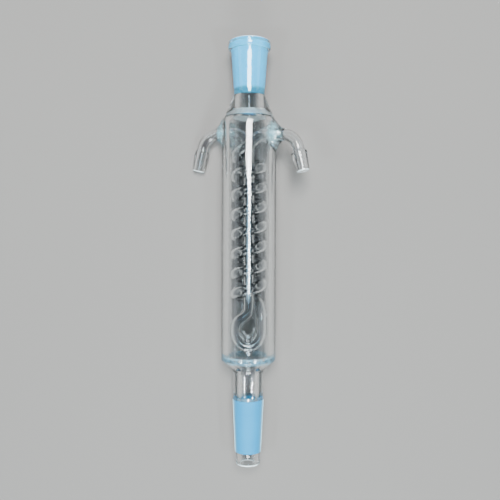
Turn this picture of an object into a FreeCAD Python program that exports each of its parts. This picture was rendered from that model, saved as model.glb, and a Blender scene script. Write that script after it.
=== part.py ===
import FreeCAD, Part
import math
import os

V = FreeCAD.Vector

# Glass jacket: heavy wall, straight between two shoulders
jacket_radius = 21.1
jacket_wall = 5.3
jacket_length = 183.0
shoulder_round = 2.5

# Lower end: ground cone of taper 1 in 10, with a clear drip tube below it
cone_diameter = 24.0
cone_length = 42.0
taper = 0.1
drip_radius = 9.4
drip_length = 8.5
vapour_bore_radius = 6.0
lower_neck_radius = 11.45
lower_neck_length = 21.9
lower_shoulder_height = 8.3

# Upper end: ground socket of the same taper, with a beaded rim
socket_diameter = 24.0
socket_depth = 38.0
socket_wall = 2.0
bead_radius = 16.4
bead_height = 7.0
upper_shoulder_height = 22.0
inner_shoulder_height = 5.8
upper_bore_radius = 8.0
step_height = 3.0

# Water tube: one bore runs through both arms, the return tube, the loop and the coil
tube_radius = 4.6
tube_wall = 1.6
coil_clearance = 1.3
coil_turns = 7.33
coil_rise = 6.2
coil_drop = 18.0
lead_drop = 5.0

# Loop under the coil, an egg-shaped ring of arcs, with a solid drip point below it.
# The radii of its arcs are shares of the loop's half width
loop_gap = 10.2
loop_side_rise = 0.6
loop_foot_rise = 9.0
foot_share = 0.70
side_share = 1.40
shoulder_share = 0.96
neck_share = 0.79
drip_point_radius = 3.1
drip_point_length = 9.5

# Hose arms: level root, a bend outward and down, then a tapered nozzle.
# The left arm is sealed in above the middle height of the two, the right arm as much below it
arm_drop = 8.5
arm_offset = 1.8
arm_reach = 26.0
arm_bend = 14.0
arm_angle = 76.5
arm_straight = 18.5
nozzle_length = 14.5
nozzle_radius = 6.0
nozzle_tip_radius = 4.65
seal_radius = 11.3
seal_length = 7.0
inner_seal_radius = 7.6
inner_seal_length = 5.0

# Derived radii
jacket_bore_radius = jacket_radius - jacket_wall
water_radius = tube_radius - tube_wall
coil_radius = jacket_bore_radius - coil_clearance - tube_radius
cone_small_radius = cone_diameter / 2 - taper * cone_length / 2
socket_end_radius = socket_diameter / 2 - taper * socket_depth / 2

# Derived heights above the drip end
cone_bottom = drip_length
cone_top = cone_bottom + cone_length
lower_shoulder = cone_top + lower_neck_length
jacket_bottom = lower_shoulder + lower_shoulder_height
jacket_top = jacket_bottom + jacket_length
socket_bottom = jacket_top + upper_shoulder_height
socket_end = socket_bottom + step_height
rim = socket_end + socket_depth
arm_height = jacket_top - arm_drop
loop_width = coil_radius + 0.25
loop_foot_radius = loop_width * foot_share
loop_side_radius = loop_width * side_share
loop_shoulder_radius = loop_width * shoulder_share
loop_neck_radius = loop_width * neck_share
foot_angle = math.acos((loop_side_radius - loop_width) / (loop_side_radius - loop_foot_radius))
foot_offset = (loop_side_radius - loop_foot_radius) * math.sin(foot_angle)
loop_bottom = jacket_bottom + loop_gap
loop_middle = loop_bottom + loop_foot_radius + foot_offset
cross_angle = math.acos(1 - loop_width / (loop_shoulder_radius + loop_neck_radius))
cross_height = (loop_shoulder_radius + loop_neck_radius) * math.sin(cross_angle)
return_bottom = loop_middle + loop_side_rise + cross_height
coil_top = arm_height - coil_drop
coil_bottom = return_bottom + coil_rise
coil_pitch = (coil_top - coil_bottom) / coil_turns


def unit(direction):
    return direction * (1.0 / direction.Length)


def rounded_section(corners):
    # Closed section in the XZ plane: each corner is radius, height and rounding
    points = [V(radius, 0, height) for radius, height, rounding in corners]
    edges = []
    previous = None
    first = None
    for i, (radius, height, rounding) in enumerate(corners):
        point = points[i]
        back = unit(points[i - 1] - point)
        ahead = unit(points[(i + 1) % len(points)] - point)
        start = point
        end = point
        if rounding > 0:
            half = back.getAngle(ahead) / 2
            reach = rounding / math.tan(half)
            start = point + back * reach
            end = point + ahead * reach
            inward = unit(back + ahead)
            middle = point + inward * (rounding / math.sin(half) - rounding)
            edges.append(Part.Arc(start, middle, end).toShape())
        if previous is not None:
            edges.append(Part.makeLine(previous, start))
        else:
            first = start
        previous = end
    edges.append(Part.makeLine(previous, first))
    ordered = Part.sortEdges(edges)[0]
    return Part.Face(Part.Wire(ordered))


def turned(corners):
    return rounded_section(corners).revolve(V(0, 0, 0), V(0, 0, 1), 360)


def envelope():
    wall_rise = jacket_wall * 0.38
    socket_outer = socket_end_radius + socket_wall * 0.85
    rim_outer = socket_diameter / 2 + socket_wall
    corners = [
        (vapour_bore_radius, 0, 1.7),
        (drip_radius, 0, 1.6),
        (drip_radius - 0.2, cone_bottom - 1.4, 1.0),
        (cone_small_radius + 0.1, cone_bottom + 1.4, 1.8),
        (cone_diameter / 2, cone_top, 0.3),
        (lower_neck_radius, cone_top + 2.2, 1.0),
        (lower_neck_radius, lower_shoulder, 5.0),
        (jacket_radius, jacket_bottom, shoulder_round),
        (jacket_radius, jacket_top, 12.0),
        (socket_outer, socket_bottom, 5.0),
        (rim_outer, rim - bead_height - 3.0, 6.0),
        (rim_outer + 0.6, rim - bead_height, 0.5),
        (bead_radius, rim - bead_height, 2.0),
        (bead_radius, rim, 1.8),
        (socket_diameter / 2, rim, 0.5),
        (socket_end_radius, socket_end, 0.8),
        (upper_bore_radius, socket_bottom - 1.2, 1.5),
        (upper_bore_radius, jacket_top + wall_rise + inner_shoulder_height, 2.0),
        (jacket_bore_radius, jacket_top + wall_rise, 6.0),
        (jacket_bore_radius, jacket_bottom + wall_rise, 2.6),
        (vapour_bore_radius, lower_shoulder + wall_rise, 4.0),
    ]
    return turned(corners)


def arm_point(side, outward, fall):
    return V(side * outward, 0, arm_height - side * arm_offset - fall)


def arm_path(side, extra):
    # Level root through the wall, bend, then the straight that carries the nozzle
    angle = math.radians(arm_angle)
    middle = angle / 2
    inner = arm_point(side, jacket_bore_radius, 0)
    root = arm_point(side, arm_reach, 0)
    half = arm_point(
        side,
        arm_reach + arm_bend * math.sin(middle),
        arm_bend * (1 - math.cos(middle)),
    )
    bend_end = arm_point(
        side,
        arm_reach + arm_bend * math.sin(angle),
        arm_bend * (1 - math.cos(angle)),
    )
    way = V(side * math.cos(angle), 0, -math.sin(angle))
    tip = bend_end + way * (arm_straight + extra)
    edges = [
        Part.makeLine(inner, root),
        Part.Arc(root, half, bend_end).toShape(),
        Part.makeLine(bend_end, tip),
    ]
    return edges, bend_end + way * arm_straight, way


def roll_angle():
    # Lying down, the jacket and the rim of the left nozzle touch the ground together
    edges, tip, way = arm_path(1, 0)
    low = 0.0
    high = math.pi / 2
    for step in range(50):
        middle = (low + high) / 2
        spread = math.sqrt(1 - (way.x * math.sin(middle)) ** 2)
        depth = tip.x * math.sin(middle) + nozzle_tip_radius * spread
        if depth < jacket_radius:
            low = middle
        else:
            high = middle
    return (low + high) / 2


roll = roll_angle()


def spin(point):
    # Turns a point of the arms' plane about the axis by the roll
    return V(
        point.x * math.cos(roll) + point.y * math.sin(roll),
        -point.x * math.sin(roll) + point.y * math.cos(roll),
        point.z,
    )


def spun(shape):
    copy = shape.copy()
    copy.rotate(V(0, 0, 0), V(0, 0, 1), -math.degrees(roll))
    return copy


def coil_point(turn, height):
    # Turn 0 is at the left, and turns grow downward round the back
    angle = math.pi + turn * 2 * math.pi
    return V(coil_radius * math.cos(angle), -coil_radius * math.sin(angle), height)


def coil_way(turn):
    angle = math.pi + turn * 2 * math.pi
    fall = coil_pitch / (2 * math.pi * coil_radius)
    return unit(V(-math.sin(angle), -math.cos(angle), -fall))


def curve_through(points, start_way, end_way):
    curve = Part.BSplineCurve()
    curve.interpolate(
        Points=points,
        InitialTangent=start_way,
        FinalTangent=end_way,
        Scale=False,
    )
    return curve.toShape()


def lead_in():
    # From the right seal round the front to the top of the coil
    wall = spin(arm_point(1, jacket_bore_radius, 0))
    inward = spin(V(-1, 0, 0))
    span = 1.0 / 3
    lift = (coil_drop - lead_drop - coil_pitch * span) / span ** 2
    points = [wall]
    for step in range(4, 0, -1):
        turn = span * step / 4
        height = coil_top + coil_pitch * turn + lift * turn ** 2
        points.append(coil_point(-turn, height))
    points.append(coil_point(0, coil_top))
    return curve_through(points, inward, coil_way(0))


def coil():
    helix = Part.makeLongHelix(coil_pitch, coil_pitch * coil_turns, coil_radius, 0, False)
    helix.rotate(V(0, 0, 0), V(0, 0, 1), math.degrees(math.pi) - 360 * coil_turns % 360)
    helix.translate(V(0, 0, coil_bottom))
    return helix.Edges


def flat_arc(x, z, radius, start, end):
    # Arc in the loop's plane, with its angles in radians from +X
    angles = (start, (start + end) / 2, end)
    points = [V(x + radius * math.cos(angle), 0, z + radius * math.sin(angle)) for angle in angles]
    return Part.Arc(points[0], points[1], points[2]).toShape()


def loop():
    # From the foot of the coil down the right, round the bottom and up the left
    right = V(loop_width, 0, loop_middle)
    right_top = right + V(0, 0, loop_foot_rise)
    left = V(-loop_width, 0, loop_middle)
    left_top = left + V(0, 0, loop_side_rise)
    side = loop_width - loop_side_radius
    foot = loop_middle - foot_offset
    foot_curve = [coil_point(coil_turns, coil_bottom), right_top]
    turn = math.pi - cross_angle
    shoulder = loop_shoulder_radius - loop_width
    return [
        curve_through(foot_curve, coil_way(coil_turns), V(0, 0, -1)),
        Part.makeLine(right_top, right),
        flat_arc(side, loop_middle, loop_side_radius, 0, -foot_angle),
        flat_arc(0, foot, loop_foot_radius, -foot_angle, foot_angle - math.pi),
        flat_arc(-side, loop_middle, loop_side_radius, math.pi + foot_angle, math.pi),
        Part.makeLine(left, left_top),
        flat_arc(shoulder, left_top.z, loop_shoulder_radius, math.pi, turn),
        flat_arc(-loop_neck_radius, return_bottom, loop_neck_radius, -cross_angle, 0),
    ]


def return_tube():
    # From the loop up the middle, then bent over to the left seal
    bend = jacket_bore_radius
    chord = bend * math.sin(math.pi / 4)
    low = V(0, 0, return_bottom)
    high = arm_point(-1, 0, bend)
    middle = arm_point(-1, bend - chord, bend - chord)
    end = arm_point(-1, bend, 0)
    return [Part.makeLine(low, high), Part.Arc(high, spin(middle), spin(end)).toShape()]


def water_path(extra):
    left, left_tip, left_way = arm_path(-1, extra)
    right, right_tip, right_way = arm_path(1, extra)
    edges = [spun(edge) for edge in left + right]
    edges = edges + return_tube() + loop() + coil() + [lead_in()]
    return edges


def swept(edges, radius):
    wire = Part.Wire(Part.sortEdges(edges)[0])
    first = wire.OrderedEdges[0]
    start = first.valueAt(first.FirstParameter)
    way = first.tangentAt(first.FirstParameter)
    if first.Orientation == "Reversed":
        start = first.valueAt(first.LastParameter)
        way = first.tangentAt(first.LastParameter) * -1
    ring = Part.Wire(Part.makeCircle(radius, start, way))
    return wire.makePipeShell([ring], True, False)


def placed_along(shape, origin, way):
    turn = FreeCAD.Rotation(V(0, 0, 1), way)
    shape.Placement = FreeCAD.Placement(origin, turn)
    return shape


def nozzle(side):
    edges, tip, way = arm_path(side, 0)
    corners = [
        (0, 0, 0),
        (nozzle_tip_radius, 0, 0.7),
        (nozzle_radius, nozzle_length, 0.8),
        (tube_radius - 0.2, nozzle_length + 2.2, 0),
        (0, nozzle_length + 2.2, 0),
    ]
    return spun(placed_along(turned(corners), tip, way * -1))


def seal(side):
    # Lump of glass where the arm is sealed through the wall
    outer = jacket_radius + seal_length
    inner = jacket_bore_radius - inner_seal_length
    corners = [
        (0, inner, 0),
        (tube_radius - 0.3, inner, 0),
        (tube_radius + 0.5, inner + inner_seal_length * 0.4, 2.0),
        (inner_seal_radius, jacket_bore_radius + 0.5, 0),
        (seal_radius, jacket_radius - 1.0, 0.8),
        (tube_radius + 1.0, jacket_radius + seal_length * 0.45, 4.0),
        (tube_radius - 0.3, outer, 0),
        (0, outer, 0),
    ]
    return spun(placed_along(turned(corners), arm_point(side, 0, 0), V(side, 0, 0)))


def drip_point():
    top = loop_bottom - tube_radius + tube_wall / 2
    corners = [
        (0, top - drip_point_length, 0),
        (drip_point_radius * 0.7, top - drip_point_length, 1.2),
        (drip_point_radius, top, 0),
        (0, top, 0),
    ]
    return turned(corners)


def condenser():
    body = envelope()
    tubes = swept(water_path(-nozzle_length / 2), tube_radius)
    extras = [tubes, drip_point()]
    for side in (-1, 1):
        extras.append(nozzle(side))
        extras.append(seal(side))
    glass = body.fuse(extras)
    water = swept(water_path(1.0), water_radius)
    return glass.cut(water).Solids[0]


def laid_down(shape):
    # Axis level, socket toward the back, resting on the ground below the middle
    shape.rotate(V(0, 0, 0), V(1, 0, 0), -90)
    shape.translate(V(0, -rim / 2, jacket_radius))
    return shape


os.makedirs("parts", exist_ok=True)
laid_down(condenser()).exportStep("parts/condenser.step")
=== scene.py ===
import math
import bpy
import bmesh
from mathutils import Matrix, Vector, noise


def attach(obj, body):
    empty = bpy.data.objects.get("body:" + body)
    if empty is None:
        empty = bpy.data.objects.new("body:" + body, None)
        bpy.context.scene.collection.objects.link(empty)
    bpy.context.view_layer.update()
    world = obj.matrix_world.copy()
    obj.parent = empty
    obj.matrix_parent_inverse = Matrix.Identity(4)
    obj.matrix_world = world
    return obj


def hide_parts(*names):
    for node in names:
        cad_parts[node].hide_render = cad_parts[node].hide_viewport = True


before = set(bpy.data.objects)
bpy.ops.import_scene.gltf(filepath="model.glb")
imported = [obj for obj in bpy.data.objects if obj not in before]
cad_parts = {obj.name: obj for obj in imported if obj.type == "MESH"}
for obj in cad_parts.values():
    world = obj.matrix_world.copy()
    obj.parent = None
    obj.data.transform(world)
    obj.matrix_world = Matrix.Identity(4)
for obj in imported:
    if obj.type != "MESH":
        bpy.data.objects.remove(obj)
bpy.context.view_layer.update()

# Sizes in millimetres, in the upright frame: x to the right, y to the back, u up from the drip end
HALF = 163.35

# Jacket, with the height of its inner shoulders over the outer ones
JACKET_R = 21.1
JACKET_IN = 15.8
JACKET_LOW = 80.7
JACKET_TOP = 263.7
INNER_RISE = (JACKET_R - JACKET_IN) * 0.38
INNER_TOP = JACKET_TOP + INNER_RISE
UPPER_BORE_R = 8.0

# Drip tube, ground cone and lower neck; the taper is what the radius loses per millimetre
VAPOUR_R = 6.0
DRIP_R = 9.4
CONE_R = 12.0
CONE_LOW = 8.5
CONE_TOP = 50.5
TAPER = 0.05
CONE_SMALL = CONE_R - TAPER * (CONE_TOP - CONE_LOW)
LOWER_NECK_R = 11.45
LOWER_NECK_TOP = 72.4

# Ground socket and its bead, with a fine groove under the rim
RIM = 326.7
SOCKET_END = 288.7
SOCKET_IN = CONE_R - TAPER * (RIM - SOCKET_END)
SOCKET_FOOT = SOCKET_END - 3
SOCKET_OUT = 14.0
BEAD_R = 16.4
BEAD_LOW = RIM - 7
GROOVE = 0.4

# Water tube and coil
TUBE_R = 4.6
WATER_R = 3.0
COIL_R = 9.9
TURNS = 7.33
COIL_DROP = 18.0
COIL_RISE = 6.2
LEAD_DROP = 5.0

# Side arms: the left one is sealed in above their middle height, the right one as much below it
ARM_H = JACKET_TOP - 8.5
ARM_OFF = 1.8
REACH = 26.0
BEND = 14.0
LEAN = math.radians(76.5)
STRAIGHT = 18.5
NOZZLE = 14.5
NOZZLE_R = 6.0
NOZZLE_TIP_R = 4.65
NOZZLE_END = 2.2
ROLL = math.radians(22.015)

# Seals of the arms: distances from the axis, then what a seal adds to the tube's half-width
# along the axis and across it, and its lumps, inside the wall and at the wall's face
SEAL_FOOT = 9.0
SEAL_FACE = 20.2
SEAL_END = 29.0
SEAL_INSIDE = (3.8, 2.4, 1.7)
SEAL_OUTSIDE = (8.6, 3.8, 2.0)

# Loop under the coil; the radii of its arcs are shares of its half width
LOOP_W = COIL_R + 0.25
LOOP_FOOT_R = LOOP_W * 0.70
LOOP_SIDE_R = LOOP_W * 1.40
LOOP_SHOULDER_R = LOOP_W * 0.96
LOOP_NECK_R = LOOP_W * 0.79
LOOP_RISE = 9.0
FOOT_A = math.acos((LOOP_SIDE_R - LOOP_W) / (LOOP_SIDE_R - LOOP_FOOT_R))
FOOT_D = (LOOP_SIDE_R - LOOP_FOOT_R) * math.sin(FOOT_A)
CROSS = math.acos(1 - LOOP_W / (LOOP_SHOULDER_R + LOOP_NECK_R))

# Heights of loop and coil
LOOP_LOW = JACKET_LOW + 10.2
LOOP_MID = LOOP_LOW + LOOP_FOOT_R + FOOT_D
LOOP_TOP = LOOP_MID + 0.6
RETURN_LOW = LOOP_TOP + (LOOP_SHOULDER_R + LOOP_NECK_R) * math.sin(CROSS)
COIL_LOW = RETURN_LOW + COIL_RISE
COIL_TOP = ARM_H - COIL_DROP
PITCH = (COIL_TOP - COIL_LOW) / TURNS

# Drip point under the loop
DRIP_POINT = 9.5
DRIP_POINT_TOP = LOOP_LOW - TUBE_R + 0.9


def place(p):
    # Upright millimetres to the row frame in metres: the axis lies level, the front looks up
    return Vector((p[0] / 1000, (p[2] - HALF) / 1000, (JACKET_R - p[1]) / 1000))


def spin(p):
    c, s = math.cos(ROLL), math.sin(ROLL)
    return Vector((p[0] * c + p[1] * s, -p[0] * s + p[1] * c, p[2]))


# Curves

def arc(cx, cz, r, a0, a1, n):
    out = []
    for k in range(n + 1):
        a = a0 + (a1 - a0) * k / n
        out.append(Vector((cx + r * math.cos(a), 0, cz + r * math.sin(a))))
    return out


def hermite(p0, t0, p1, t1, n):
    out = []
    for k in range(n + 1):
        s = k / n
        h00, h10 = 2 * s ** 3 - 3 * s ** 2 + 1, s ** 3 - 2 * s ** 2 + s
        h01, h11 = -2 * s ** 3 + 3 * s ** 2, s ** 3 - s ** 2
        out.append(p0 * h00 + t0 * h10 + p1 * h01 + t1 * h11)
    return out


def join(*runs):
    out = []
    for run in runs:
        for p in run:
            if not out or (p - out[-1]).length > 0.05:
                out.append(p)
    return out


def even(points, step):
    # The same line with its points a steady step apart
    lengths = [0.0]
    for a, b in zip(points, points[1:]):
        lengths.append(lengths[-1] + (b - a).length)
    count = max(2, round(lengths[-1] / step))
    out, i = [], 0
    for k in range(count + 1):
        s = lengths[-1] * k / count
        while i < len(lengths) - 2 and lengths[i + 1] < s:
            i += 1
        f = (s - lengths[i]) / max(1e-9, lengths[i + 1] - lengths[i])
        out.append(points[i].lerp(points[i + 1], min(1.0, f)))
    return out


def closer(points):
    # Two points more in each step near the seals and the nozzles' shoulders
    seal_half = 8
    shoulder_half = 5
    shoulder_flat = 38.5
    out = []
    for a, b in zip(points, points[1:]):
        out.append(a)
        flat = math.hypot(a.x, a.y)
        in_seal = abs(a.z - ARM_H) < seal_half and SEAL_FOOT < flat < SEAL_END
        on_shoulder = abs(a.z - ARM_H + BEND) < shoulder_half and flat > shoulder_flat
        if in_seal or on_shoulder:
            out += [a.lerp(b, 1 / 3), a.lerp(b, 2 / 3)]
    return out + [points[-1]]


def arm(side):
    # From the nozzle's tip to the inside of the wall
    end = Vector((REACH + BEND * math.sin(LEAN), 0, ARM_H - BEND * (1 - math.cos(LEAN))))
    tip = end + Vector((math.cos(LEAN), 0, -math.sin(LEAN))) * STRAIGHT
    bend = arc(REACH, ARM_H - BEND, BEND, math.pi / 2 - LEAN, math.pi / 2, 24)
    line = [tip] + bend + [Vector((JACKET_IN, 0, ARM_H))]
    return [spin(Vector((side * p.x, 0, p.z - side * ARM_OFF))) for p in line]


def coil_point(turn, height):
    a = math.pi + turn * 2 * math.pi
    return Vector((COIL_R * math.cos(a), -COIL_R * math.sin(a), height))


def coil_way(turn, length):
    # The way the coil runs at this turn toward its foot, as a vector of this length
    a = math.pi + turn * 2 * math.pi
    v = Vector((-math.sin(a), -math.cos(a), -PITCH / (2 * math.pi * COIL_R)))
    return v.normalized() * length


def loop_line():
    # From the return tube down the loop's left side, round its foot and up the right side to the coil
    side = LOOP_W - LOOP_SIDE_R
    low = LOOP_MID - FOOT_D
    down = join(
        arc(-LOOP_NECK_R, RETURN_LOW, LOOP_NECK_R, 0, -CROSS, 14),
        arc(LOOP_SHOULDER_R - LOOP_W, LOOP_TOP, LOOP_SHOULDER_R, math.pi - CROSS, math.pi, 14),
        arc(-side, LOOP_MID, LOOP_SIDE_R, math.pi, math.pi + FOOT_A, 14),
        arc(0, low, LOOP_FOOT_R, FOOT_A - math.pi, -FOOT_A, 24),
        arc(side, LOOP_MID, LOOP_SIDE_R, -FOOT_A, 0, 14),
    )
    rise = Vector((LOOP_W, 0, LOOP_MID + LOOP_RISE))
    foot = coil_point(TURNS, COIL_LOW)
    gap = (foot - rise).length
    back = hermite(rise, Vector((0, 0, gap)), foot, coil_way(TURNS, -gap), 20)
    return join(down, back)


def coil_line():
    n = int(TURNS * 72)
    height = COIL_TOP - COIL_LOW
    return [coil_point(TURNS * (1 - k / n), COIL_LOW + height * k / n) for k in range(n + 1)]


def lead_line():
    # From the top of the coil round the front to the right seal
    span = 1 / 3
    lift = (COIL_DROP - LEAD_DROP - PITCH * span) / span ** 2
    turns = []
    for k in range(17):
        turn = span * k / 16
        turns.append(coil_point(-turn, COIL_TOP + PITCH * turn + lift * turn ** 2))
    wall = spin(Vector((JACKET_IN, 0, ARM_H - ARM_OFF)))
    gap = (wall - turns[-1]).length
    back = (turns[-1] - turns[-2]).normalized() * gap
    return join(turns, hermite(turns[-1], back, wall, spin(Vector((gap, 0, 0))), 16))


def return_line():
    # From the left seal bent down into the middle
    bend = arc(-JACKET_IN, ARM_H + ARM_OFF - JACKET_IN, JACKET_IN, math.pi / 2, 0, 24)
    return join([spin(p) for p in bend], [Vector((0, 0, RETURN_LOW))])


def water_line():
    # The whole water way, from the left nozzle's tip to the right one's
    step = 1.9
    line = join(arm(-1), return_line(), loop_line(), coil_line(), lead_line(), arm(1)[::-1])
    return closer(even(line, step))


WATER_LINE = water_line()


# Meshes

def tube(points, radii, around, name):
    # Closed tube along the points; each has a half-width along the axis, one across it, and its lumps
    lumps_per_mm = 0.42
    mesh = bpy.data.meshes.new(name)
    bm = bmesh.new()
    side = Vector((0, 1, 0))
    rings = []
    for i, p in enumerate(points):
        way = (points[min(i + 1, len(points) - 1)] - points[max(i - 1, 0)]).normalized()
        side = (side - way * side.dot(way)).normalized()
        other = way.cross(side)
        ra, rb, lump = radii[i]
        ring = []
        for k in range(around):
            a = 2 * math.pi * k / around
            d = side * math.cos(a) + other * math.sin(a)
            r = rb + (ra - rb) * d.z ** 2
            r += lump * noise.noise((p + d * r) * lumps_per_mm)
            ring.append(bm.verts.new(place(p + d * r)))
        rings.append(ring)
    for a, b in zip(rings, rings[1:]):
        for k in range(around):
            j = (k + 1) % around
            bm.faces.new((a[k], a[j], b[j], b[k]))
    bm.faces.new(rings[0][::-1])
    bm.faces.new(rings[-1])
    bmesh.ops.recalc_face_normals(bm, faces=bm.faces)
    bm.to_mesh(mesh)
    bm.free()
    return mesh


def rounded(corners, step):
    # Corner list of radius, height and rounding, given back as close points along the section
    pts = [Vector((r, u)) for r, u, f in corners]
    out = []
    for i, (r, u, f) in enumerate(corners):
        p = pts[i]
        back = (pts[i - 1] - p).normalized()
        ahead = (pts[(i + 1) % len(pts)] - p).normalized()
        if f <= 0:
            out.append([p])
            continue
        half = back.angle(ahead) / 2
        reach = f / math.tan(half)
        centre = p + (back + ahead).normalized() * (f / math.sin(half))
        a = p + back * reach - centre
        b = p + ahead * reach - centre
        turn = a.angle_signed(b)
        n = max(3, round(abs(turn) / math.radians(9)))
        run = []
        for k in range(n + 1):
            t = -turn * k / n
            c, d = math.cos(t), math.sin(t)
            run.append(centre + Vector((a.x * c - a.y * d, a.x * d + a.y * c)))
        out.append(run)
    line = []
    for i, run in enumerate(out):
        line += run
        after = out[(i + 1) % len(out)][0]
        gap = (after - run[-1]).length
        cuts = int(gap / step)
        line += [run[-1].lerp(after, (k + 1) / (cuts + 1)) for k in range(cuts)]
    return line


def turned(line, around, name, wave=None):
    # Closed section turned about the axis, with a wave added to its radius if one is given
    mesh = bpy.data.meshes.new(name)
    bm = bmesh.new()
    rings = []
    for r, u in line:
        ring = []
        for k in range(around):
            a = 2 * math.pi * k / around
            radius = r + (wave(r, u, a) if wave else 0.0)
            ring.append(bm.verts.new(place((radius * math.cos(a), radius * math.sin(a), u))))
        rings.append(ring)
    for i, a in enumerate(rings):
        b = rings[(i + 1) % len(rings)]
        for k in range(around):
            j = (k + 1) % around
            bm.faces.new((a[k], a[j], b[j], b[k]))
    bmesh.ops.recalc_face_normals(bm, faces=bm.faces)
    bm.to_mesh(mesh)
    bm.free()
    return mesh


# Corners of the wall's section: radius, height and rounding, up the outside and down the inside
WALL = [
    (VAPOUR_R, 0, 1.7),
    (DRIP_R, 0, 1.6),
    (DRIP_R - 0.2, CONE_LOW - 1.4, 1.0),
    (CONE_SMALL + 0.1, CONE_LOW + 1.4, 1.8),
    (CONE_R, CONE_TOP, 0.3),
    (LOWER_NECK_R, CONE_TOP + 2.2, 1.0),
    (LOWER_NECK_R, LOWER_NECK_TOP, 5.0),
    (JACKET_R, JACKET_LOW, 1.4),
    (JACKET_R, JACKET_TOP, 12.0),
    (SOCKET_IN + 1.7, SOCKET_FOOT, 5.0),
    (SOCKET_OUT, BEAD_LOW - 3, 6.0),
    (SOCKET_OUT + 0.6, BEAD_LOW, 0.5),
    (BEAD_R, BEAD_LOW, 2.0),
    (BEAD_R, RIM - 3.4, 0.6),
    (BEAD_R - GROOVE, RIM - 2.8, 0.5),
    (BEAD_R, RIM - 2.3, 0.6),
    (BEAD_R, RIM, 1.6),
    (CONE_R, RIM, 0.5),
    (SOCKET_IN, SOCKET_END, 0.8),
    (UPPER_BORE_R, SOCKET_FOOT - 1.2, 1.5),
    (UPPER_BORE_R, INNER_TOP + 5.8, 2.0),
    (JACKET_IN, INNER_TOP, 6.0),
    (JACKET_IN, JACKET_LOW + INNER_RISE, 2.6),
    (VAPOUR_R, LOWER_NECK_TOP + INNER_RISE, 4.0),
]


def drawn(r, u, a):
    # Drawn tube is never quite even: a slow wave in the inner wall, none at the ends
    low = JACKET_LOW + 3.3
    high = JACKET_TOP - 1.7
    if r > JACKET_IN + 0.2 or u < low or u > high:
        return 0.0
    fade = min(1.0, (u - low) / 12, (high - u) / 12)
    return fade * 0.07 * noise.noise(Vector((2.2 * math.cos(a), 2.2 * math.sin(a), u / 28)))


def smooth(s):
    s = max(0.0, min(1.0, s))
    return s * s * (3 - 2 * s)


def seal_shape(flat):
    # What an arm's seal adds to the tube at this distance from the axis
    if SEAL_FACE < flat < SEAL_END:
        f = ((SEAL_END - flat) / (SEAL_END - SEAL_FACE)) ** 1.7
        return [v * f for v in SEAL_OUTSIDE]
    if JACKET_IN <= flat <= SEAL_FACE:
        f = (flat - JACKET_IN) / (SEAL_FACE - JACKET_IN)
        return [a + (b - a) * f for a, b in zip(SEAL_INSIDE, SEAL_OUTSIDE)]
    if SEAL_FOOT < flat < JACKET_IN:
        f = ((flat - SEAL_FOOT) / (JACKET_IN - SEAL_FOOT)) ** 2
        return [v * f for v in SEAL_INSIDE]
    return [0.0, 0.0, 0.0]


def outer_radii(points):
    # Half-widths and lumps of the water tube's outside; d is the length from the nearer tip
    past_seal = 75
    total = [0.0]
    for a, b in zip(points, points[1:]):
        total.append(total[-1] + (b - a).length)
    out = []
    for i, p in enumerate(points):
        d = min(total[i], total[-1] - total[i])
        r = TUBE_R + 0.07 * noise.noise(p * 0.11)
        if d < NOZZLE:
            r = NOZZLE_TIP_R + (NOZZLE_R - NOZZLE_TIP_R) * d / NOZZLE
        elif d < NOZZLE + NOZZLE_END:
            r = NOZZLE_R + (TUBE_R - NOZZLE_R) * smooth((d - NOZZLE) / NOZZLE_END)
        along, across, lump = 0.0, 0.0, 0.0
        if d < past_seal and abs(p.z - ARM_H) < 9:
            along, across, lump = seal_shape(math.hypot(p.x, p.y))
        out.append((r + along, r + across, lump))
    return out


def lipped(points, radii, lip):
    # Extra rings at both ends for the fire-polished lip: pairs of distance from the tip and radius
    first, last = points[0], points[-1]
    way0 = (points[1] - first).normalized()
    way1 = (points[-2] - last).normalized()
    head = [(first + way0 * d, (r, r, 0)) for d, r in lip]
    tail = [(last + way1 * d, (r, r, 0)) for d, r in reversed(lip)]
    keep = [(p, r) for p, r in zip(points, radii) if min((p - first).length, (p - last).length) > 1.2]
    rows = head + keep + tail
    return [p for p, r in rows], [r for p, r in rows]


OUTER_LIP = [(0.0, 3.9), (0.12, 4.25), (0.35, 4.5), (0.75, 4.62)]
BORE_LIP = [(-1.5, 3.5), (0.0, 3.4), (0.15, 3.15), (0.45, WATER_R)]


def wall():
    return turned(rounded(WALL, 3.0), 144, "wall", drawn)


def water_skin():
    points, radii = lipped(WATER_LINE, outer_radii(WATER_LINE), OUTER_LIP)
    return tube(points, radii, 40, "skin")


def water_bore():
    radii = [(WATER_R, WATER_R, 0)] * len(WATER_LINE)
    points, radii = lipped(WATER_LINE, radii, BORE_LIP)
    return tube(points, radii, 32, "bore")


def drip_point():
    # Its section ends a hair off the axis, so that no ring shrinks to a point
    axis = 0.01
    low = DRIP_POINT_TOP - DRIP_POINT
    corners = [
        (axis, low, 0),
        (2.3, low, 1.6),
        (2.1, DRIP_POINT_TOP - 4.5, 3.0),
        (3.6, DRIP_POINT_TOP, 0),
        (axis, DRIP_POINT_TOP, 0),
    ]
    return turned(rounded(corners, 1.2), 36, "drip")


def put(mesh, name):
    ob = bpy.data.objects.new(name, mesh)
    bpy.context.scene.collection.objects.link(ob)
    return ob


def combine(base, other, how):
    # Adds the other object to the base or cuts it out, and removes it
    mod = base.modifiers.new("join", "BOOLEAN")
    mod.operation = how
    mod.solver = "MANIFOLD"
    mod.object = other
    view = bpy.context.evaluated_depsgraph_get()
    mesh = bpy.data.meshes.new_from_object(base.evaluated_get(view))
    base.modifiers.clear()
    base.data = mesh
    bpy.data.objects.remove(other)


glass = put(wall(), "glass_body")
combine(glass, put(water_skin(), "skin"), "UNION")
combine(glass, put(drip_point(), "drip"), "UNION")
combine(glass, put(water_bore(), "bore"), "DIFFERENCE")
for poly in glass.data.polygons:
    poly.use_smooth = True
glass.data.set_sharp_from_angle(angle=math.radians(38))


# Materials

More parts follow.
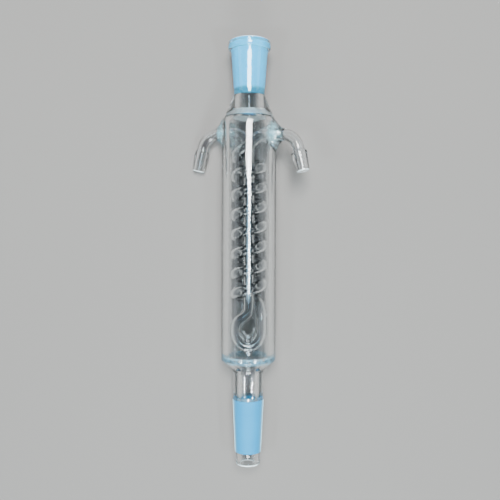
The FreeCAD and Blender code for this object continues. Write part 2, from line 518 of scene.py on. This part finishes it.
GLASS_IOR = 1.47


class Graph:
    # Node tree of a new material, with short calls for the nodes used here
    def __init__(self, name):
        self.mat = bpy.data.materials.new(name)
        self.mat.use_nodes = True
        self.nodes = self.mat.node_tree.nodes
        self.links = self.mat.node_tree.links
        self.shader = self.nodes["Principled BSDF"]

    def add(self, kind, **values):
        node = self.nodes.new(kind)
        for key, value in values.items():
            setattr(node, key, value)
        return node

    def feed(self, socket, value):
        if hasattr(value, "is_output"):
            self.links.new(value, socket)
        else:
            socket.default_value = value

    def look(self, values):
        # Sets the shader's sockets, each to a value or to what a node gives
        for name, value in values.items():
            self.feed(self.shader.inputs[name], value)

    def where(self):
        return self.add("ShaderNodeTexCoord").outputs["Object"]

    def split(self, vector):
        node = self.add("ShaderNodeSeparateXYZ")
        self.links.new(vector, node.inputs[0])
        return node.outputs

    def stretch(self, vector, scale):
        node = self.add("ShaderNodeMapping")
        node.inputs["Scale"].default_value = scale
        self.links.new(vector, node.inputs["Vector"])
        return node.outputs[0]

    def math(self, op, a, b=0.0):
        node = self.add("ShaderNodeMath", operation=op)
        self.feed(node.inputs[0], a)
        self.feed(node.inputs[1], b)
        return node.outputs[0]

    def ramp(self, x, low, high):
        node = self.add("ShaderNodeMapRange", interpolation_type="SMOOTHSTEP")
        self.feed(node.inputs[0], x)
        node.inputs[1].default_value = low
        node.inputs[2].default_value = high
        return node.outputs[0]

    def noise(self, vector, scale, detail=3.0, rough=0.55):
        node = self.add("ShaderNodeTexNoise")
        self.feed(node.inputs["Vector"], vector)
        node.inputs["Scale"].default_value = scale
        node.inputs["Detail"].default_value = detail
        node.inputs["Roughness"].default_value = rough
        return node.outputs[0]

    def mix(self, f, a, b):
        node = self.add("ShaderNodeMix", data_type="FLOAT")
        self.feed(node.inputs[0], f)
        self.feed(node.inputs[2], a)
        self.feed(node.inputs[3], b)
        return node.outputs[0]

    def relief(self, height, strength, distance):
        bump = self.add("ShaderNodeBump")
        bump.inputs["Strength"].default_value = strength
        bump.inputs["Distance"].default_value = distance
        self.links.new(height, bump.inputs["Height"])
        self.links.new(bump.outputs[0], self.shader.inputs["Normal"])

    def blend(self, f, a, b):
        node = self.add("ShaderNodeMix", data_type="RGBA")
        self.feed(node.inputs[0], f)
        for socket, value in ((node.inputs[6], a), (node.inputs[7], b)):
            if hasattr(value, "is_output"):
                self.links.new(value, socket)
            else:
                socket.default_value = (*value, 1)
        return node.outputs[2]


def seal_mask(g, x, y, z, lumps):
    # 1 at the arms' seals, with a ragged edge; a step across the wall counts nearly double
    face = 0.020
    cos, sin = math.cos(ROLL), math.sin(ROLL)
    from_axis = g.math("ADD", g.math("MULTIPLY", x, cos), g.math("MULTIPLY", z, sin))
    side = g.math("MULTIPLY", g.math("SUBTRACT", g.math("ABSOLUTE", from_axis), face), 1.9)
    over = g.math("SUBTRACT", y, (ARM_H - HALF) / 1000)
    over = g.math("ADD", over, g.math("MULTIPLY", g.math("SIGN", from_axis), ARM_OFF / 1000))
    across = g.math("SUBTRACT", g.math("MULTIPLY", z, cos), g.math("MULTIPLY", x, sin))
    far = g.math("ADD", g.math("MULTIPLY", over, over), g.math("MULTIPLY", across, across))
    far = g.math("SQRT", g.math("ADD", g.math("MULTIPLY", side, side), far))
    far = g.math("ADD", far, g.math("MULTIPLY", g.math("SUBTRACT", lumps, 0.5), 0.008))
    return g.ramp(far, 0.0125, 0.0085)


def clear_material():
    g = Graph("borosilicate")
    where = g.where()
    x, y, z = g.split(where)
    z = g.math("SUBTRACT", z, JACKET_R / 1000)
    lumps = g.noise(where, 520, 4.0, 0.6)
    seal = seal_mask(g, x, y, z, lumps)
    smear = g.math("MULTIPLY", g.ramp(g.noise(where, 38, 4.0), 0.55, 0.85), 0.03)
    g.look({
        "Base Color": g.blend(seal, (0.975, 0.993, 0.997), (0.44, 0.82, 0.92)),
        "Roughness": g.mix(seal, smear, g.math("MULTIPLY", lumps, 0.22)),
        "Transmission Weight": g.mix(seal, 1.0, g.math("ADD", 0.62, g.math("MULTIPLY", lumps, 0.5))),
        "IOR": GLASS_IOR,
    })
    # Drawing lines run along the glass, and the coil's thin tube is the least even
    lines = g.noise(g.stretch(where, (1.0, 0.04, 1.0)), 260, 3.0)
    deep = g.math("SQRT", g.math("ADD", g.math("MULTIPLY", x, x), g.math("MULTIPLY", z, z)))
    ripple = g.math("MULTIPLY", g.noise(where, 420, 2.0), g.ramp(deep, 0.0153, 0.0147))
    even_part = g.math("ADD", g.math("MULTIPLY", lines, 0.08), g.math("MULTIPLY", ripple, 0.5))
    g.relief(g.mix(seal, even_part, g.math("MULTIPLY", lumps, 5.0)), 0.6, 0.00012)
    return g.mat


def ground_material():
    g = Graph("ground_glass")
    where = g.where()
    along = g.split(where)[1]
    grain = g.noise(where, 4200, 4.0, 0.7)
    rings = g.noise(g.stretch(where, (0.05, 1.0, 0.05)), 1500, 3.0, 0.6)
    cloud = g.noise(where, 70, 4.0)
    shade = g.math("ADD", g.math("MULTIPLY", cloud, 0.6), g.math("MULTIPLY", rings, 0.4))
    cone = g.blend(shade, (0.0, 0.125, 0.27), (0.0, 0.17, 0.34))
    # Painted light: the socket's ground glass is painted far lighter than the cone's, since it gets
    # light only through the clear wall; both are one ground glass
    socket = g.blend(shade, (0.0, 0.48, 0.90), (0.03, 0.60, 0.98))
    # The end of the socket, seen past its ground bore, is painted darker: painted shade
    painted_end_shade = g.ramp(along, (SOCKET_END + 2.8 - HALF) / 1000, (SOCKET_END + 0.4 - HALF) / 1000)
    socket = g.blend(painted_end_shade, socket, (0.01, 0.24, 0.40))
    g.look({
        "Base Color": g.blend(g.ramp(along, -0.02, 0.02), cone, socket),
        "Roughness": g.math("ADD", 0.36, g.math("MULTIPLY", shade, 0.2)),
        "Transmission Weight": 0.10,
        "IOR": GLASS_IOR,
        "Specular IOR Level": 0.12,
        "Sheen Weight": 0.60,
        "Sheen Roughness": 0.35,
        "Sheen Tint": (0.60, 0.93, 1.0, 1),
    })
    height = g.math("ADD", g.math("MULTIPLY", grain, 0.7), g.math("MULTIPLY", rings, 0.6))
    g.relief(height, 0.5, 0.00006)
    return g.mat


def melted_highlight_material():
    # Rims and ring seals melted in the flame, never quite even; their milky white is a painted
    # highlight on the fire-polished edges, with white spots as painted glints, and the blue round the
    # lower neck is a painted reflection
    g = Graph("flame_worked_glass_painted_highlight")
    where = g.where()
    streaks_and_glints = g.noise(where, 330, 3.0, 0.6)
    neck = ((JACKET_LOW + CONE_TOP) / 2 - HALF) / 1000
    from_neck = g.math("ABSOLUTE", g.math("SUBTRACT", g.split(where)[1], neck))
    # Painted reflection: a blue band round the lower neck, in place of the bright surroundings mirrored
    # there
    neck_reflection = g.ramp(from_neck, 0.021, 0.018)
    shade = g.blend(neck_reflection, (0.80, 0.95, 0.98), (0.24, 0.55, 0.74))
    g.look({
        # Painted glints: white spots where the streaks run high, on a milky colour that stands in for
        # the edges' highlight
        "Base Color": g.blend(g.ramp(streaks_and_glints, 0.52, 0.66), shade, (0.97, 0.99, 1.0)),
        "Roughness": g.math("MULTIPLY", streaks_and_glints, 0.3),
        "Transmission Weight": g.math("ADD", g.mix(neck_reflection, 0.25, 0.52), g.math("MULTIPLY", streaks_and_glints, 0.7)),
        "IOR": GLASS_IOR,
    })
    g.relief(streaks_and_glints, 0.5, 0.0002)
    return g.mat


def floor_material():
    g = Graph("pale_floor")
    tone = g.noise(g.where(), 3.0, 3.0)
    g.look({
        "Base Color": g.blend(tone, (0.100, 0.098, 0.095), (0.108, 0.106, 0.102)),
        "Roughness": 0.9,
        "Specular IOR Level": 0.2,
    })
    return g.mat


# Material of each face, by its height and its distance from the axis
CLEAR, GROUND, MELTED_HIGHLIGHT = range(3)


def at_tip(centre):
    # On the rim of a nozzle, within 0.6 mm of its tip
    for tip, inner in ((WATER_LINE[0], WATER_LINE[1]), (WATER_LINE[-1], WATER_LINE[-2])):
        tip, inner = place(tip), place(inner)
        off = centre - tip
        if off.length < 0.007 and off.dot((inner - tip).normalized()) < 0.0006:
            return True
    return False


def finish_of(centre):
    u = centre.y * 1000 + HALF
    r = math.hypot(centre.x, centre.z - JACKET_R / 1000) * 1000
    socket_r = SOCKET_IN + TAPER * max(0, u - SOCKET_END)
    on_cone = CONE_LOW + 2.4 < u < CONE_TOP and r > 9.5
    in_socket = SOCKET_END - 4.5 < u < RIM - 0.5 and 8.3 < r < socket_r + 0.25
    if on_cone or in_socket:
        return GROUND
    # These bands of worked glass get the milky glass with painted highlights; round the lower neck it
    # paints light and reflection over parts that lie in shade
    drip_end = u < 1.3 and r > 6.2
    over_cone = CONE_TOP - 0.2 < u < CONE_TOP + 2.4 and r > 11.0
    lower_shoulder = JACKET_LOW - 1.4 < u < JACKET_LOW + 2.4 and r > 18.5
    upper_inside = INNER_TOP + 1.6 < u < INNER_TOP + 6.6 and 7.7 < r < 12.5
    rim = u > RIM - 0.9 and r > 13.0
    if drip_end or over_cone or lower_shoulder or upper_inside or rim or at_tip(centre):
        return MELTED_HIGHLIGHT
    return CLEAR


glass.data.materials.clear()
for material in (clear_material(), ground_material(), melted_highlight_material()):
    glass.data.materials.append(material)
for poly in glass.data.polygons:
    poly.material_index = finish_of(poly.center)
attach(glass, "root")
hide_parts("condenser")

# Stage
FLOOR = 40
floor_mesh = bpy.data.meshes.new("floor")
corners = [(-FLOOR, -FLOOR, 0), (FLOOR, -FLOOR, 0), (FLOOR, FLOOR, 0), (-FLOOR, FLOOR, 0)]
floor_mesh.from_pydata(corners, [], [(0, 1, 2, 3)])
floor_mesh.materials.append(floor_material())
floor = put(floor_mesh, "floor")


def softbox(name, place_at, aim, size_x, size_y, power, colour):
    light = bpy.data.lights.new(name, "AREA")
    light.shape = "RECTANGLE"
    light.size = size_x
    light.size_y = size_y
    light.energy = power
    light.color = colour
    ob = bpy.data.objects.new(name, light)
    ob.location = place_at
    ob.rotation_euler = (Vector(aim) - Vector(place_at)).to_track_quat("-Z", "Y").to_euler()
    bpy.context.scene.collection.objects.link(ob)


# The jacket mirrors the three key lights as one long bright line, weaker toward the cone
WARM = (1.0, 0.99, 0.97)
softbox("key", (0.04, 0.50, 1.5), (0.0, 0.40, 0.0), 0.58, 0.66, 105, WARM)
softbox("key_mid", (0.04, 0.095, 1.5), (0.03, 0.09, 0.0), 0.42, 0.14, 16, WARM)
softbox("key_low", (0.03, -0.06, 1.5), (0.03, -0.06, 0.0), 0.16, 0.16, 5.0, (0.97, 0.99, 1.0))
# Soft light from the sides and from the cone's end
CENTRE = (0.0, 0.0, 0.02)
softbox("left", (-1.1, 0.0, 0.55), CENTRE, 1.1, 0.5, 3, (0.90, 0.96, 1.0))
softbox("right", (1.1, 0.0, 0.55), CENTRE, 1.1, 0.5, 3, (0.93, 0.97, 1.0))
softbox("front", (0.0, -1.1, 0.55), (0.0, -0.1, 0.02), 0.5, 0.7, 36, (0.90, 0.97, 1.0))
# Two small lamps for glints on the coil and the arms, and a pale blue shine from overhead
for name, side in (("glint_left", -0.55), ("glint_right", 0.55)):
    softbox(name, (side, -0.36, 1.0), (0.0, -0.02, 0.02), 0.05, 0.05, 7, (0.85, 0.95, 1.0))
softbox("halo", (0.0, 0.135, 1.7), (0.0, 0.135, 0.0), 0.5, 0.62, 9, (0.45, 0.78, 1.0))

world = bpy.data.worlds.new("studio")
bpy.context.scene.world = world
world.use_nodes = True
back = world.node_tree.nodes["Background"]
back.inputs["Color"].default_value = (0.40, 0.57, 0.84, 1)
back.inputs["Strength"].default_value = 0.11

# Camera: straight above, near, as in the photograph, whose pixels give its focal length
FOCAL_PX = 593
PHOTO_PX = 500
cam = bpy.data.cameras.new("camera")
cam.sensor_width = 36.0
cam.lens = cam.sensor_width * FOCAL_PX / PHOTO_PX
camera = bpy.data.objects.new("camera", cam)
camera.location = (0.0010, 0.0022, 0.4811)
camera.rotation_euler = (0, 0, math.radians(0.23))
bpy.context.scene.collection.objects.link(camera)
bpy.context.scene.camera = camera

bpy.context.view_layer.update()
